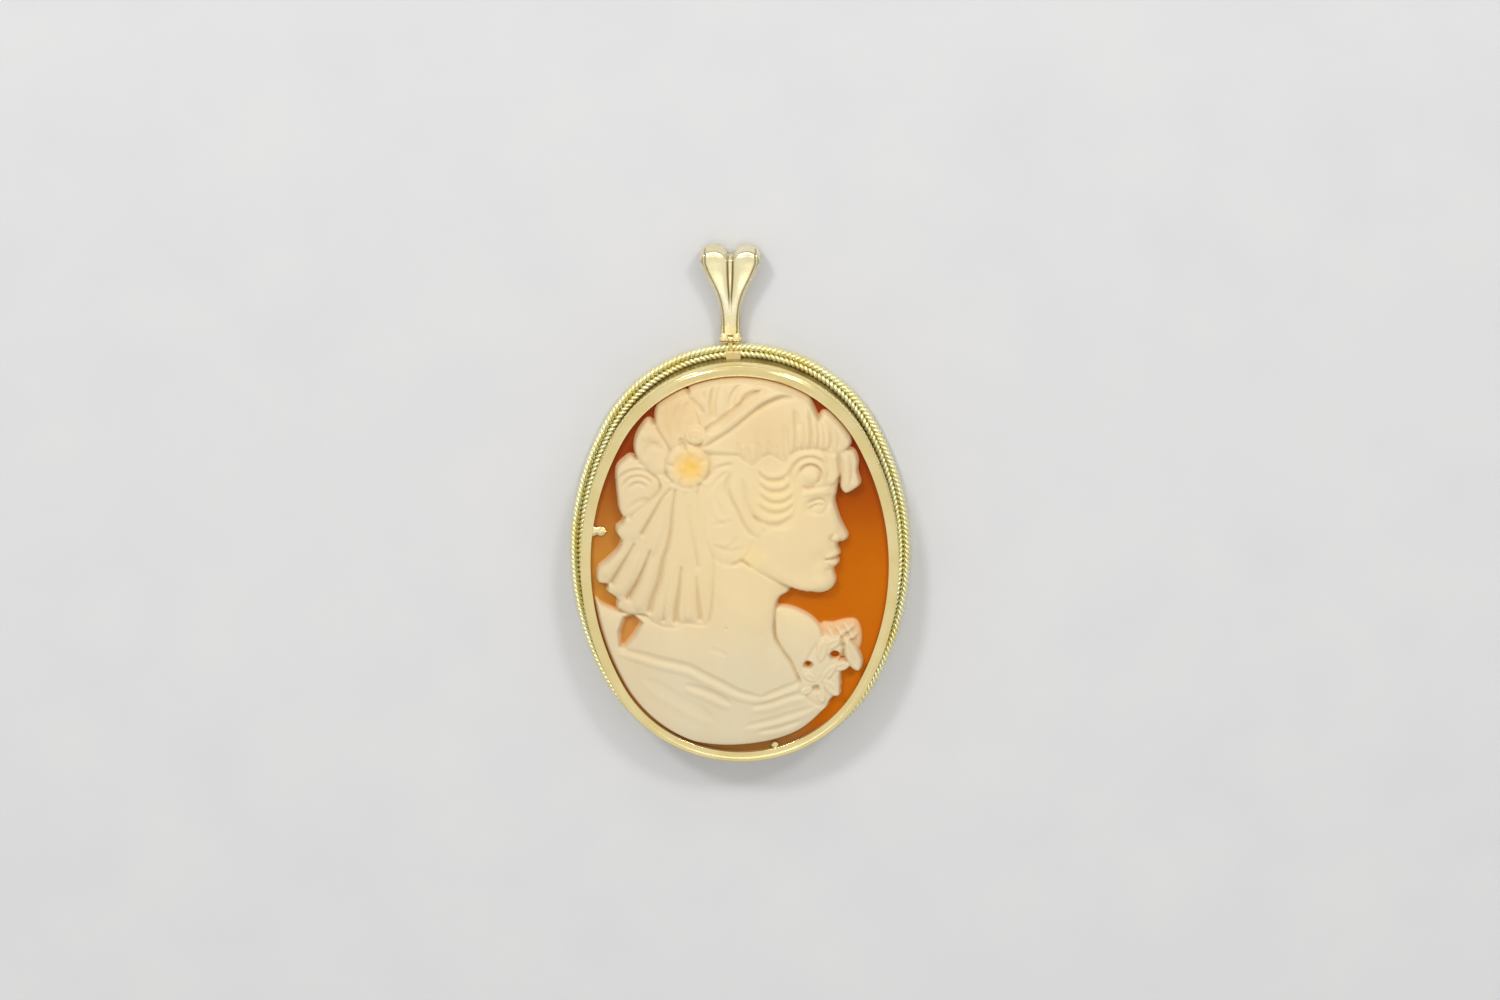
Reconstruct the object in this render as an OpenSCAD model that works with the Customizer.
// Oval cameo pendant: a carved shell in a polished bezel with a twisted wire border,
// hung from a folded two-lobed bail that swings on a small hinge.
// The pendant lies on its back. +Z is its front and +Y points to the bail.

/* [Bezel] */
// Radius of the two end arcs of the oval, at the rim's outside
end_r = 14.31; // [14.1:0.03:14.49]
// Step that sets how far the centres of the oval's arcs stand apart
arc_step = 0.835; // [0.82:0.005:0.85]
// Width of the rim's polished face
face_w = 1.05; // [0.9:0.05:1.2]
// Height of the rim's face above the back
rim_z = 4.8; // [4.6:0.1:5.4]
// Depth of the rim's outer side, above the recessed wall
skirt_h = 1.5; // [1.2:0.1:1.8]
// Width of the small bevel on each edge of the rim
bevel = 0.12; // [0.06:0.02:0.2]
// How far the recessed wall's outside lies inside the rim's edge
wall_out = 0.4; // [0.3:0.05:0.5]
// How far the recessed wall's inside lies inside the rim's edge
wall_in = 0.72; // [0.66:0.02:0.8]
// Thickness of the rim's lip over the shell
lip_t = 0.5; // [0.4:0.05:0.6]
// Height of the seat that the shell rests on
seat_z = 1.1; // [0.9:0.1:1.3]
// Thickness of the seat
seat_t = 0.4; // [0.3:0.05:0.5]
// How far the seat's inner edge lies inside the rim's edge
seat_in = 1.9; // [1.6:0.1:2.4]

/* [Rope border] */
// Diameter of each twisted wire
wire_d = 0.72; // [0.66:0.02:0.78]
// How far the border stands out past the rim
border_out = 1.1; // [1.05:0.05:1.25]
// Thickness of the back flange under the wires
flange_t = 0.4; // [0.3:0.05:0.5]

/* [Bail] */
// Length from the hinge to the middle of the bail's rounded top
bail_len = 8.5; // [8.3:0.1:8.8]
// How far the rounded top reaches past that
bail_top = 1.4; // [1.2:0.1:1.6]
// How far the bail rises off the surface, in degrees
bail_rise = 3.5; // [3.5:0.5:9]
// How far the bail hangs to the left of the oval's middle
hang_off = 1; // [0:0.1:1.2]
// Radius of the round end of the passage for the chain
passage_r = 0.7; // [0.6:0.05:0.75]

/* [Hinge] */
// Diameter of the hinge's knuckles
knuckle_d = 0.9; // [0.84:0.02:0.92]
// Width of the middle knuckle
knuckle_w = 0.44; // [0.4:0.02:0.48]
// Diameter of the hinge pin
pin_d = 0.4; // [0.38:0.01:0.42]
// Radial clearance round the pin in the middle knuckle
pin_gap = 0.05; // [0.04:0.01:0.06]

/* [Cameo] */
// Height of the shell's edge above the back
edge_z = 4.2; // [4:0.05:4.25]
// Rise of the shell's ground from its edge to its middle
dome_h = 0.9; // [0.7:0.1:1.1]
// Height of the relief, against the size drawn
relief_k = 1; // [0.8:0.05:1.1]
// Hollow of the shell's back in the middle
back_hollow = 0.9; // [0.5:0.1:1.2]

/* [Hidden] */
eps = 0.01;
// The oval is four arcs. The centres of the end arcs stand on the Y axis and those of the side
// arcs on the X axis, at the corners of an 8-15-17 triangle, so that the arcs meet smoothly
end_c = 8 * arc_step;
side_c = 15 * arc_step;
side_r = end_r + 17 * arc_step;
join_deg = atan2(end_c, side_c);
rim_a = side_r - side_c;
rim_b = end_r + end_c;
// The two wires of the border lie side by side on the flange
wire_r = wire_d / 2;
wire_sink = 0.04;
wire_z = flange_t + wire_r - wire_sink;
outer_wire = border_out - wire_r;
inner_wire = outer_wire - wire_d + wire_sink;
// The bail's hinge stands just outside the border
hinge_gap = 0.1;
knuckle_r = knuckle_d / 2;
hinge_y = rim_b + border_out + hinge_gap + knuckle_r;
hinge_z = 0.98;
foot_w = 1.9;
fork_gap = 0.05;
bail_bore_r = pin_d / 2 + 0.03;
// The origin is under the middle of the whole pendant, bail included
low_y = -rim_b - border_out;
bail_tip = bail_len + bail_top;
high_y = hinge_y + bail_tip * cos(bail_rise);
mid_y = (low_y + high_y) / 2;

gold = [0.86, 0.78, 0.47];
shell_cream = [0.92, 0.85, 0.68];

// One arc of the oval: a full turn of the 2D profile, kept between two lines from its centre
module oval_arc(centre, radius, corner_1, corner_2) {
    intersection() {
        translate(centre) rotate_extrude($fn = 160) translate([radius, 0]) children();
        translate([0, 0, -1]) linear_extrude(rim_z + 2) polygon([centre, corner_1, corner_2]);
    }
}

// Sweeps a 2D profile round the oval, its x measured outward from the rim's outside
module sweep_oval() {
    far_x = 3 * side_c;
    far_y = 4 * end_c;
    for (side = [-1, 1]) {
        oval_arc([-side * side_c, 0], side_r, [side * far_x, far_y], [side * far_x, -far_y])
            children();
        oval_arc([0, side * end_c], end_r, [far_x, side * far_y], [-far_x, side * far_y])
            children();
    }
}

// Section through the rim, wall, seat and flange, with the two wires
module bezel_section() {
    polygon([
        [0, rim_z - skirt_h], [0, rim_z - bevel], [-bevel, rim_z],
        [bevel - face_w, rim_z], [-face_w, rim_z - bevel], [-face_w, rim_z - lip_t],
        [-wall_in, rim_z - lip_t], [-wall_in, seat_z], [-seat_in, seat_z],
        [-seat_in, seat_z - seat_t], [-wall_in, seat_z - seat_t], [-wall_in, 0],
        [outer_wire, 0], [outer_wire, flange_t], [-wall_out, flange_t],
        [-wall_out, rim_z - skirt_h]
    ]);
    for (offset_x = [inner_wire, outer_wire])
        translate([offset_x, wire_z]) circle(wire_r, $fn = 32);
}

// Short square post that ties the border to the wall under the bail
module post() {
    post_w = 1.4;
    groove_w = 0.16;
    groove_h = 0.1;
    root = 0.15;
    rise = 0.16;
    hang_share = 0.7;
    post_x = -hang_share * hang_off;
    post_y = rim_b - wall_out - root;
    post_len = rim_b + (inner_wire + outer_wire) / 2 - post_y;
    post_h = wire_z + wire_r + rise - flange_t / 2;
    translate([post_x - post_w / 2, post_y, flange_t / 2]) difference() {
        cube([post_w, post_len, post_h]);
        translate([(post_w - groove_w) / 2, -eps, post_h - groove_h])
            cube([groove_w, post_len + 2 * eps, 2 * groove_h]);
    }
}

// Middle knuckle of the hinge, soldered to the outer wire
module middle_knuckle() {
    ear_y = rim_b + outer_wire;
    ear_h = 0.5;
    ear_drop = 0.05;
    translate([-hang_off, 0, 0]) difference() {
        union() {
            translate([-knuckle_w / 2, ear_y, hinge_z - ear_h / 2 - ear_drop])
                cube([knuckle_w, hinge_y - ear_y, ear_h]);
            translate([-knuckle_w / 2, hinge_y, hinge_z]) rotate([0, 90, 0])
                cylinder(h = knuckle_w, r = knuckle_r, $fn = 32);
        }
        translate([-knuckle_w, hinge_y, hinge_z]) rotate([0, 90, 0])
            cylinder(h = 2 * knuckle_w, r = pin_d / 2 + pin_gap, $fn = 32);
    }
}

// Small leaf-shaped claw bent over the shell, pointing along +X from the rim's inner edge
module claw(length, width) {
    claw_t = 0.3;
    root = 0.3;
    translate([0, 0, rim_z - claw_t - 0.03]) linear_extrude(claw_t) polygon([
        [-root, -width / 2], [length * 0.25, -width / 2], [length * 0.38, -width * 0.34],
        [length * 0.6, -width * 0.42], [length, 0], [length * 0.6, width * 0.42],
        [length * 0.38, width * 0.34], [length * 0.25, width / 2], [-root, width / 2]
    ]);
}

module bezel() color(gold) translate([0, -mid_y, 0]) {
    // Each claw: length, width and its place along the rim, as y for one and x for the other
    side_claw = [1.4, 1.1, 3.4];
    low_claw = [0.7, 0.8, 3.6];
    low_lift = 0.42;
    low_turn = 100;
    sweep_oval() bezel_section();
    post();
    middle_knuckle();
    translate([face_w - half_width(side_claw[2], 0), side_claw[2], 0])
        claw(side_claw[0], side_claw[1]);
    translate([low_claw[2], face_w - rim_b + low_lift, 0]) rotate(low_turn)
        claw(low_claw[0], low_claw[1]);
}

// Half width of the oval at height y, for the oval that lies inset inside the rim's edge
function half_width(y, inset) = let (tan_y = (side_r - inset) * sin(join_deg), v = abs(y))
    v < tan_y ? sqrt(pow(side_r - inset, 2) - v * v) - side_c
              : sqrt(max(0, pow(end_r - inset, 2) - pow(v - end_c, 2)));

// Bail: distance from the hinge, half width, half thickness, and the middle groove's half
// width and depth
bail_rows = [
    [0.42, 0.94, 0.45, 0.10, 0.00],
    [1.40, 0.95, 0.58, 0.10, 0.00],
    [2.40, 0.97, 0.72, 0.10, 0.00],
    [3.40, 1.06, 0.86, 0.12, 0.01],
    [4.40, 1.25, 0.98, 0.16, 0.06],
    [5.30, 1.53, 1.08, 0.22, 0.14],
    [6.20, 1.93, 1.16, 0.29, 0.20],
    [7.30, 2.47, 1.22, 0.35, 0.22],
    [bail_len, 2.96, 1.22, 0.37, 0.22]
];
// Places across the bail, as shares of its half width
bail_across = concat([for (u = [-1, -0.93, -0.84, -0.7, -0.55, -0.4, -0.27, -0.16, -0.08]) u], [0],
    [for (u = [0.08, 0.16, 0.27, 0.4, 0.55, 0.7, 0.84, 0.93, 1]) u]);
bail_cols = len(bail_across) - 1;
// The crests of the two lobes, as shares of the half width, and their rise as a share of the
// half thickness
lobe_at = 0.56;
lobe_rise = 0.1;
// Depth of the groove at which the lobes stand fully apart
full_groove = 0.15;
// Bevelled band along each edge: its width, made up of a length and a share of the half width,
// and its drop as a share of the half thickness
band_w = 0.17;
band_share = 0.08;
band_drop = 0.2;
// How far the notch between the lobes reaches past the last row
notch_reach = 0.4;
// Steps of the rounded top, its turn in degrees, and its squareness, where 1 is a half circle
top_rows = 6;
top_turn = 88;
top_round = 0.8;

function lobe(u) = sqrt(max(0, 1 - pow((abs(u) - lobe_at) / (1 - lobe_at), 2)));
// Front surface across the bail: one arch at the foot that parts into two lobes, with a groove
// between them and a bevelled band along each edge
function bail_z(u, row) = let (half_w = row[1], half_t = row[2],
    parting = min(1, row[4] / full_groove), arch = sqrt(1 - u * u),
    band = band_w / half_w + band_share)
    half_t * (1 - lobe_rise + lobe_rise * (parting * lobe(u) + (1 - parting) * arch))
    - row[4] * min(1, 2 * max(0, 1 - abs(u) * half_w / row[3]))
    - band_drop * half_t * max(0, abs(u) - 1 + band) / band;
function bail_row(i, side) = let (row = bail_rows[i])
    [for (u = bail_across) [u * row[1], row[0], side * bail_z(u, row)]];
// The top turns from the front to the back over both lobes
function bail_cap(i, side) = let (row = bail_rows[len(bail_rows) - 1],
    turn = top_turn * i / top_rows, along = pow(sin(turn), top_round), up = pow(cos(turn), top_round))
    [for (u = bail_across) let (reach = notch_reach + (bail_top - notch_reach) * lobe(u))
        [u * row[1], row[0] + reach * along, side * up * bail_z(u, row)]];
bail_front = concat([for (i = [0 : len(bail_rows) - 1]) each bail_row(i, 1)],
    [for (i = [1 : top_rows]) each bail_cap(i, 1)]);
bail_back = concat([for (i = [0 : len(bail_rows) - 1]) each bail_row(i, -1)],
    [for (i = [1 : top_rows]) each bail_cap(i, -1)]);

module bail_skin() {
    n = bail_cols + 1;
    rows = len(bail_rows) + top_rows;
    half = n * rows;
    grid = [for (i = [0 : rows - 2], j = [0 : bail_cols - 1]) [i, j]];
    polyhedron(points = concat(bail_front, bail_back), faces = concat(
        [for (g = grid) let (a = g[0] * n + g[1]) each [[a, a + n, a + n + 1], [a, a + n + 1, a + 1]]],
        [for (g = grid) let (a = half + g[0] * n + g[1])
            each [[a, a + n + 1, a + n], [a, a + 1, a + n + 1]]],
        [for (j = [0 : bail_cols - 1]) let (a = j, b = (rows - 1) * n + j)
            each [[a, a + 1, a + 1 + half], [a, a + 1 + half, a + half],
                [b, b + half, b + 1 + half], [b, b + 1 + half, b + 1]]],
        [for (i = [0 : rows - 2]) let (a = i * n, b = i * n + bail_cols)
            each [[a, a + half, a + n + half], [a, a + n + half, a + n],
                [b, b + n, b + n + half], [b, b + n + half, b + half]]]
    ));
}

// Passage for the chain, a teardrop through the bail from side to side
module passage() {
    round_s = bail_len - 0.6;
    point_s = 2.1;
    point_r = 0.2;
    lean = asin((passage_r - point_r) / (round_s - point_s));
    span = 8;
    rotate([90, 0, 90]) translate([0, 0, -span / 2]) linear_extrude(span) {
        translate([round_s, 0]) circle(passage_r, $fn = 48);
        translate([point_s, 0]) circle(point_r, $fn = 24);
        polygon([for (c = [[round_s, passage_r, 1], [point_s, point_r, 1],
            [point_s, point_r, -1], [round_s, passage_r, -1]])
            [c[0] - c[1] * sin(lean), c[2] * c[1] * cos(lean)]]);
    }
}

module in_bail_place() {
    translate([-hang_off, hinge_y - mid_y, hinge_z]) rotate([bail_rise, 0, 0]) children();
}

module bail() color(gold) in_bail_place() difference() {
    foot_len = 0.5;
    union() {
        bail_skin();
        translate([-foot_w / 2, 0, 0]) rotate([0, 90, 0])
            cylinder(h = foot_w, r = knuckle_r, $fn = 32);
        translate([-foot_w / 2, 0, -knuckle_r]) cube([foot_w, foot_len, knuckle_d]);
    }
    passage();
    translate([-knuckle_w / 2 - fork_gap, 0, 0]) rotate([0, 90, 0])
        cylinder(h = knuckle_w + 2 * fork_gap, r = knuckle_r + hinge_gap, $fn = 32);
    translate([-foot_w, 0, 0]) rotate([0, 90, 0])
        cylinder(h = 2 * foot_w, r = bail_bore_r, $fn = 32);
}

module hinge_pin() color(gold) in_bail_place() {
    head_t = 0.1;
    head_r = 0.75 * pin_d;
    head_gap = 0.02;
    pin_len = foot_w + 2 * (head_gap + head_t);
    translate([-pin_len / 2, 0, 0]) rotate([0, 90, 0]) {
        cylinder(h = pin_len, r = pin_d / 2, $fn = 32);
        cylinder(h = head_t, r = head_r, $fn = 32);
        translate([0, 0, pin_len - head_t]) cylinder(h = head_t, r = head_r, $fn = 32);
    }
}

// Outlines of the carved forms, seen from the front and measured from the oval's middle
shoulder_line = [[3.4, -4.4], [5.2, -4.5], [6.7, -5], [7.7, -5.9], [8.5, -6.8], [9, -8.2],
    [8.6, -10.4], [8, -12.6], [7.2, -13.8], [5.2, -10.4], [3.4, -7]];
bust_line = [[-15.5, -3.3], [-13.6, -4.2], [-12.4, -5.1], [-9, -5.2], [-4, -4.5], [3, -3.4],
    [3.4, -4.6], [3.25, -6.3], [3.6, -7.9], [5.4, -11], [6.2, -12.5], [8.7, -14.1],
    [8.1, -15.2], [5, -17.5], [2.6, -18.3], [-0.6, -18.65], [-3.6, -18.5], [-6.8, -17.6],
    [-9.8, -15.6], [-12.2, -12.6], [-13.9, -9], [-15.5, -5]];
window_line = [[-12.3, -7.9], [-12.1, -6.6], [-11.1, -5.6], [-9.8, -6.1], [-11.7, -8.8]];
neck_line = [[-4.5, 2], [2, 2], [5.2, 0.2], [5, -2.2], [3.85, -2.9], [3.4, -4.6], [3.2, -6.6],
    [0.5, -7.6], [-3, -7], [-5, -5]];
veil_line = [[-11.5, 5], [-11.7, 4.1], [-12.3, 3.1], [-12.1, 1.4], [-14.2, -0.5],
    [-14.3, -2.1], [-13.2, -2.3], [-13.1, -3.2], [-12.3, -3.7], [-12.1, -4.5], [-10.4, -5.3],
    [-8.3, -6.3], [-6.3, -6.3], [-3.9, -6], [-3.1, -5.6], [-3.2, 2], [-4.4, 8.6],
    [-7.5, 9.2], [-9.6, 7.5]];
hair_line = [[-3.8, 11.8], [-4.4, 8.5], [-4, 5], [-3.4, 2], [-2.4, 0.4], [-0.3, -0.3],
    [1.5, -0.3], [2.3, 0.8], [1.8, 3.9], [3.4, 3.9], [5.2, 4.7], [6.1, 6.4], [6.3, 8.2],
    [8.9, 9], [9.7, 8.6], [10.2, 10], [9.8, 12.2], [3, 13]];
low_leaf_line = [[9.3, 12.4], [10.8, 12.1], [11.7, 11.1], [11.8, 9.9], [12.05, 8.5],
    [11.4, 7.7], [10.4, 7.3], [9.7, 7.6], [9.5, 9.5]];
high_leaf_line = [[7.2, 13], [7.8, 15.2], [8.5, 15.7], [9.6, 15.2], [10.5, 14.1],
    [11.05, 13.2], [10.8, 12.3], [9.4, 11.6]];
cap_line = [[-4, 12.6], [-3.4, 11.5], [-0.3, 11.4], [1.1, 10.4], [2.7, 11.3], [4.6, 11],
    [5.6, 12], [8.9, 12.2], [8.9, 14.2], [7.5, 15.9], [6.9, 17], [6, 18], [4, 19],
    [-2, 16.5]];
fan_line = [[-5.3, 17.7], [-4.9, 21], [6.6, 21], [6, 18.2], [3.9, 17.9], [0, 15.6],
    [-2.6, 13.9], [-4.2, 14.6], [-4.6, 16.4]];
low_petal_line = [[-10.8, 11.1], [-12.2, 9.9], [-12.5, 8], [-12.3, 6], [-11.4, 4.9],
    [-9.6, 6.2], [-7.9, 8.2], [-8.6, 9.8]];
side_petal_line = [[-8.7, 14.5], [-10.1, 14.1], [-10.7, 12.4], [-10.4, 11], [-8.7, 9.4],
    [-6.8, 10.4], [-7.4, 13]];
top_petal_line = [[-8, 13.2], [-8.6, 15.1], [-8.1, 16.7], [-6.9, 17.8], [-5.9, 17.9],
    [-5.2, 17], [-4.4, 15.2], [-3.4, 13.8], [-4.6, 12.2], [-6.6, 12.2]];
posy_line = [[8.4, -7.6], [9.3, -6.7], [10.5, -6.2], [11.5, -5.9], [12.05, -7],
    [12.15, -8.5], [11.7, -10], [11, -11.3], [9.9, -11.9], [9.8, -12.8], [8.9, -14],
    [8.2, -14.8], [6.6, -13.9], [6, -12], [6.8, -9.6]];
flower_line = [for (turn = [0 : 24 : 359]) let (reach = 2.2 + 0.25 * cos(5 * turn))
    [-5 + reach * cos(turn), 10.9 + reach * sin(turn)]];

// A face in profile, laid out in equal thirds: brow, base of the nose, chin
front_x = 9.6;
brow_y = 7.8;
face_third = 5.12;
nose_y = brow_y - face_third;
chin_y = nose_y - face_third;
face_line = [[5, 9.5], [front_x, 9.4], [front_x, brow_y], [front_x - 0.25, brow_y - 0.75],
    [front_x + 0.85, nose_y + 1.35], [front_x + 1.3, nose_y + 0.6],
    [front_x + 0.3, nose_y - 0.1], [front_x + 0.5, nose_y - 1.1],
    [front_x + 0.05, nose_y - 1.65], [front_x + 0.35, nose_y - 2.1],
    [front_x - 0.15, nose_y - 2.9], [front_x, nose_y - 3.9], [front_x - 0.3, chin_y + 0.5],
    [front_x - 1, chin_y], [front_x - 2.4, chin_y + 0.1], [5.6, -2], [3.4, -1], [1, 0.5],
    [-2, 3], [-2, 8]];

// Carved forms, each laid over those before it: outline, height above the ground,
// width of the soft edge, and how far the form's middle crowns above its edge
forms = [
    [shoulder_line, 0.85, 0.5, 0.35],
    [bust_line, 1.15, 0.5, 0.3],
    [window_line, 0.10, 0.5, 0.0],
    [neck_line, 1.40, 0.5, 0.4],
    [face_line, 1.45, 0.4, 0.45],
    [veil_line, 1.30, 0.4, 0.2],
    [hair_line, 1.60, 0.5, 0.3],
    [low_leaf_line, 1.05, 0.4, 0.2],
    [high_leaf_line, 1.20, 0.4, 0.2],
    [cap_line, 1.80, 0.5, 0.4],
    [fan_line, 1.40, 0.5, 0.2],
    [low_petal_line, 1.25, 0.5, 0.3],
    [side_petal_line, 1.40, 0.5, 0.3],
    [top_petal_line, 1.55, 0.5, 0.3],
    [flower_line, 1.85, 0.5, 0.4],
    [posy_line, 1.00, 0.5, 0.3]
];
crown_w = 1.5;
// Pleats, folds and bands: start, turning point, end, half width, height
strokes = [
    [[-7.5, 7.7], [-9.8, 3.0], [-13.2, -2.9], 0.60, -0.35],
    [[-6.7, 7.6], [-8.6, 1.0], [-10.6, -5.0], 0.60, -0.35],
    [[-5.8, 7.4], [-6.0, 1.0], [-7.6, -6.1], 0.60, -0.30],
    [[-5.3, 7.6], [-4.6, 1.0], [-4.9, -6.0], 0.60, -0.30],
    [[-3.8, 12.9], [0.6, 15.8], [6.4, 18.0], 0.80, 0.35],
    [[-3.4, 11.9], [1.0, 14.6], [6.8, 16.9], 0.70, -0.20],
    [[-2.6, 13.9], [-2.4, 16.5], [-3.6, 19.3], 0.60, -0.25],
    [[-0.4, 15.4], [0.0, 17.6], [-0.6, 19.6], 0.60, -0.25],
    [[5.3, 16.6], [5.2, 14.0], [5.4, 12.2], 0.60, -0.25],
    [[6.9, 15.6], [7.0, 14.0], [7.1, 12.4], 0.60, -0.25],
    [[1.7, 9.4], [3.8, 8.2], [6.2, 9.2], 0.60, -0.25],
    [[1.7, 8.0], [3.8, 6.8], [6.0, 7.8], 0.60, -0.25],
    [[1.9, 6.6], [3.8, 5.4], [5.6, 6.2], 0.60, -0.25],
    [[-0.4, 9.3], [-2.6, 6.6], [1.4, 3.9], 0.60, -0.30],
    [[-3.2, 10.6], [-5.0, 4.6], [-0.6, 0.6], 0.60, -0.25],
    [[-11.0, -8.8], [-4.6, -9.9], [0.2, -13.4], 0.70, -0.25],
    [[-8.3, -11.0], [-3.6, -12.0], [4.6, -15.6], 0.70, -0.25],
    [[0.2, -13.4], [3.4, -14.6], [7.8, -13.6], 0.70, -0.25]
];
// Swellings and hollows: middle, radii, height
swellings = [
    [[6.0, 1.6], [3.4, 3.4], 0.25],
    [[8.1, 6.6], [1.3, 0.8], -0.30],
    [[6.9, 9.7], [1.1, 1.1], 0.30],
    [[-4.7, 10.6], [1.3, 1.3], -0.45],
    [[-2.0, -10.5], [8.0, 6.0], 0.30],
    [[9.6, -9.5], [0.8, 0.8], -0.60],
    [[6.9, -10.6], [0.8, 0.8], -0.60],
    [[7.5, -12.8], [0.7, 0.7], -0.50]
];

function ease(v) = let (c = max(0, min(1, v))) c * c * (3 - 2 * c);
function line_gap(p, a, b) = let (way = b - a, t = max(0, min(1, (p - a) * way / (way * way))))
    norm(p - a - t * way);
function loop_gap(p, line) = min([for (i = [0 : len(line) - 1])
    line_gap(p, line[i], line[(i + 1) % len(line)])]);
function crossings(p, line) = len([for (i = [0 : len(line) - 1])
    let (a = line[i], b = line[(i + 1) % len(line)])
    if ((a[1] > p[1]) != (b[1] > p[1])
        && p[0] < a[0] + (b[0] - a[0]) * (p[1] - a[1]) / (b[1] - a[1])) i]);
function depth_in(p, line) = (crossings(p, line) % 2 == 1 ? 1 : -1) * loop_gap(p, line);
// Box round a line's points, wider by pad
function box_of(line, pad) = [[min([for (p = line) p[0]]) - pad, min([for (p = line) p[1]]) - pad],
    [max([for (p = line) p[0]]) + pad, max([for (p = line) p[1]]) + pad]];
function in_box(p, box) = p[0] > box[0][0] && p[0] < box[1][0] && p[1] > box[0][1] && p[1] < box[1][1];
function curve(a, b, c, steps) = [for (i = [0 : steps]) let (t = i / steps)
    (1 - t) * (1 - t) * a + 2 * t * (1 - t) * b + t * t * c];

// Height of the forms at p, when all from number i on are laid over the height below
function laid(p, below, boxes, i) = i == len(forms) ? below
    : !in_box(p, boxes[i]) ? laid(p, below, boxes, i + 1)
    : let (form = forms[i], depth = depth_in(p, form[0]), rest = 1 - max(0, min(1, depth / crown_w)),
        top = form[1] - form[3] * (1 - sqrt(1 - rest * rest)), k = ease(depth / form[2] + 0.5))
        laid(p, below * (1 - k) + top * k, boxes, i + 1);
function stroked(p, curves) = [for (i = [0 : len(strokes) - 1]) if (in_box(p, curves[i][1]))
    let (line = curves[i][0], gap = min([for (j = [1 : len(line) - 1]) line_gap(p, line[j - 1], line[j])]))
    strokes[i][4] * pow(max(0, 1 - pow(gap / strokes[i][3], 2)), 1.5)];
function swelled(p) = [for (s = swellings) let (q = p - s[0])
    s[2] * pow(max(0, 1 - pow(q[0] / s[1][0], 2) - pow(q[1] / s[1][1], 2)), 1.5)];
function sum(list) = len(list) == 0 ? 0 : list * [for (v = list) 1];

// How far p lies inside the oval of the shell's edge
function edge_in(p, inset) = let (u = abs(p[0]), v = abs(p[1]))
    (v > end_c * (1 + u / side_c) ? end_r - norm([u, v - end_c]) : side_r - norm([u + side_c, v])) - inset;

// The shell: a carved front, a straight edge and a hollow back
module cameo() {
    gap = 0.06;
    inset = wall_in + gap;
    back_z = seat_z + 0.05;
    shell_a = rim_a - inset;
    shell_b = rim_b - inset;
    cols = 60;
    rows = 78;
    back_rings = [0.9, 0.5];
    fade_from = 0.4;
    fade_w = 0.7;
    // The carving's length along Y against its outlines as they are drawn
    drawn_k = 1.02;
    curve_steps = 6;
    boxes = [for (f = forms) box_of(f[0], f[2])];
    curves = [for (s = strokes) let (line = curve(s[0], s[1], s[2], curve_steps))
        [line, box_of(line, s[3])]];
    // Rows lie closer together towards the ends of the oval, and stop just short of its tips
    crowding = 0.25;
    last_row = 0.998 * shell_b;
    row_y = [for (i = [0 : rows]) let (s = 2 * i / rows - 1)
        last_row * s * (1 + crowding - crowding * s * s)];
    front = [for (y = row_y, j = [0 : cols]) let (
        p = [(2 * j / cols - 1) * half_width(y, inset), y],
        dome = dome_h * max(0, 1 - pow(p[0] / shell_a, 2) - pow(y / shell_b, 2)),
        q = [p[0], y / drawn_k],
        height = max(0, laid(q, 0, boxes, 0) + sum(stroked(q, curves)) + sum(swelled(q))),
        fade = ease((edge_in(p, inset) - fade_from) / fade_w))
        [p[0], p[1], edge_z + dome + relief_k * height * fade]];
    n = cols + 1;
    loop = concat([for (j = [0 : cols]) j], [for (i = [1 : rows]) i * n + cols],
        [for (j = [cols - 1 : -1 : 0]) rows * n + j], [for (i = [rows - 1 : -1 : 1]) i * n]);
    m = len(loop);
    start = len(front);
    rings = concat([1], back_rings);
    back = [for (k = rings, v = loop) let (lift = max(0, 1 - pow(k / back_rings[0], 2)))
        [front[v][0] * k, front[v][1] * k, back_z + back_hollow * lift]];
    middle = start + len(back);
    color(shell_cream) translate([0, -mid_y, 0]) polyhedron(
        points = concat(front, back, [[0, 0, back_z + back_hollow]]),
        faces = concat(
            [for (i = [0 : rows - 1], j = [0 : cols - 1]) let (a = i * n + j)
                each [[a, a + n, a + n + 1], [a, a + n + 1, a + 1]]],
            [for (v = [0 : m - 1]) let (w = (v + 1) % m)
                each [[loop[v], loop[w], start + w], [loop[v], start + w, start + v]]],
            [for (r = [0 : len(rings) - 2], v = [0 : m - 1]) let (a = start + r * m, w = (v + 1) % m)
                each [[a + v, a + w, a + m + w], [a + v, a + m + w, a + m + v]]],
            [for (v = [0 : m - 1]) let (a = start + (len(rings) - 1) * m)
                [a + v, a + (v + 1) % m, middle]]));
}

cameo();
bezel();
bail();
hinge_pin();
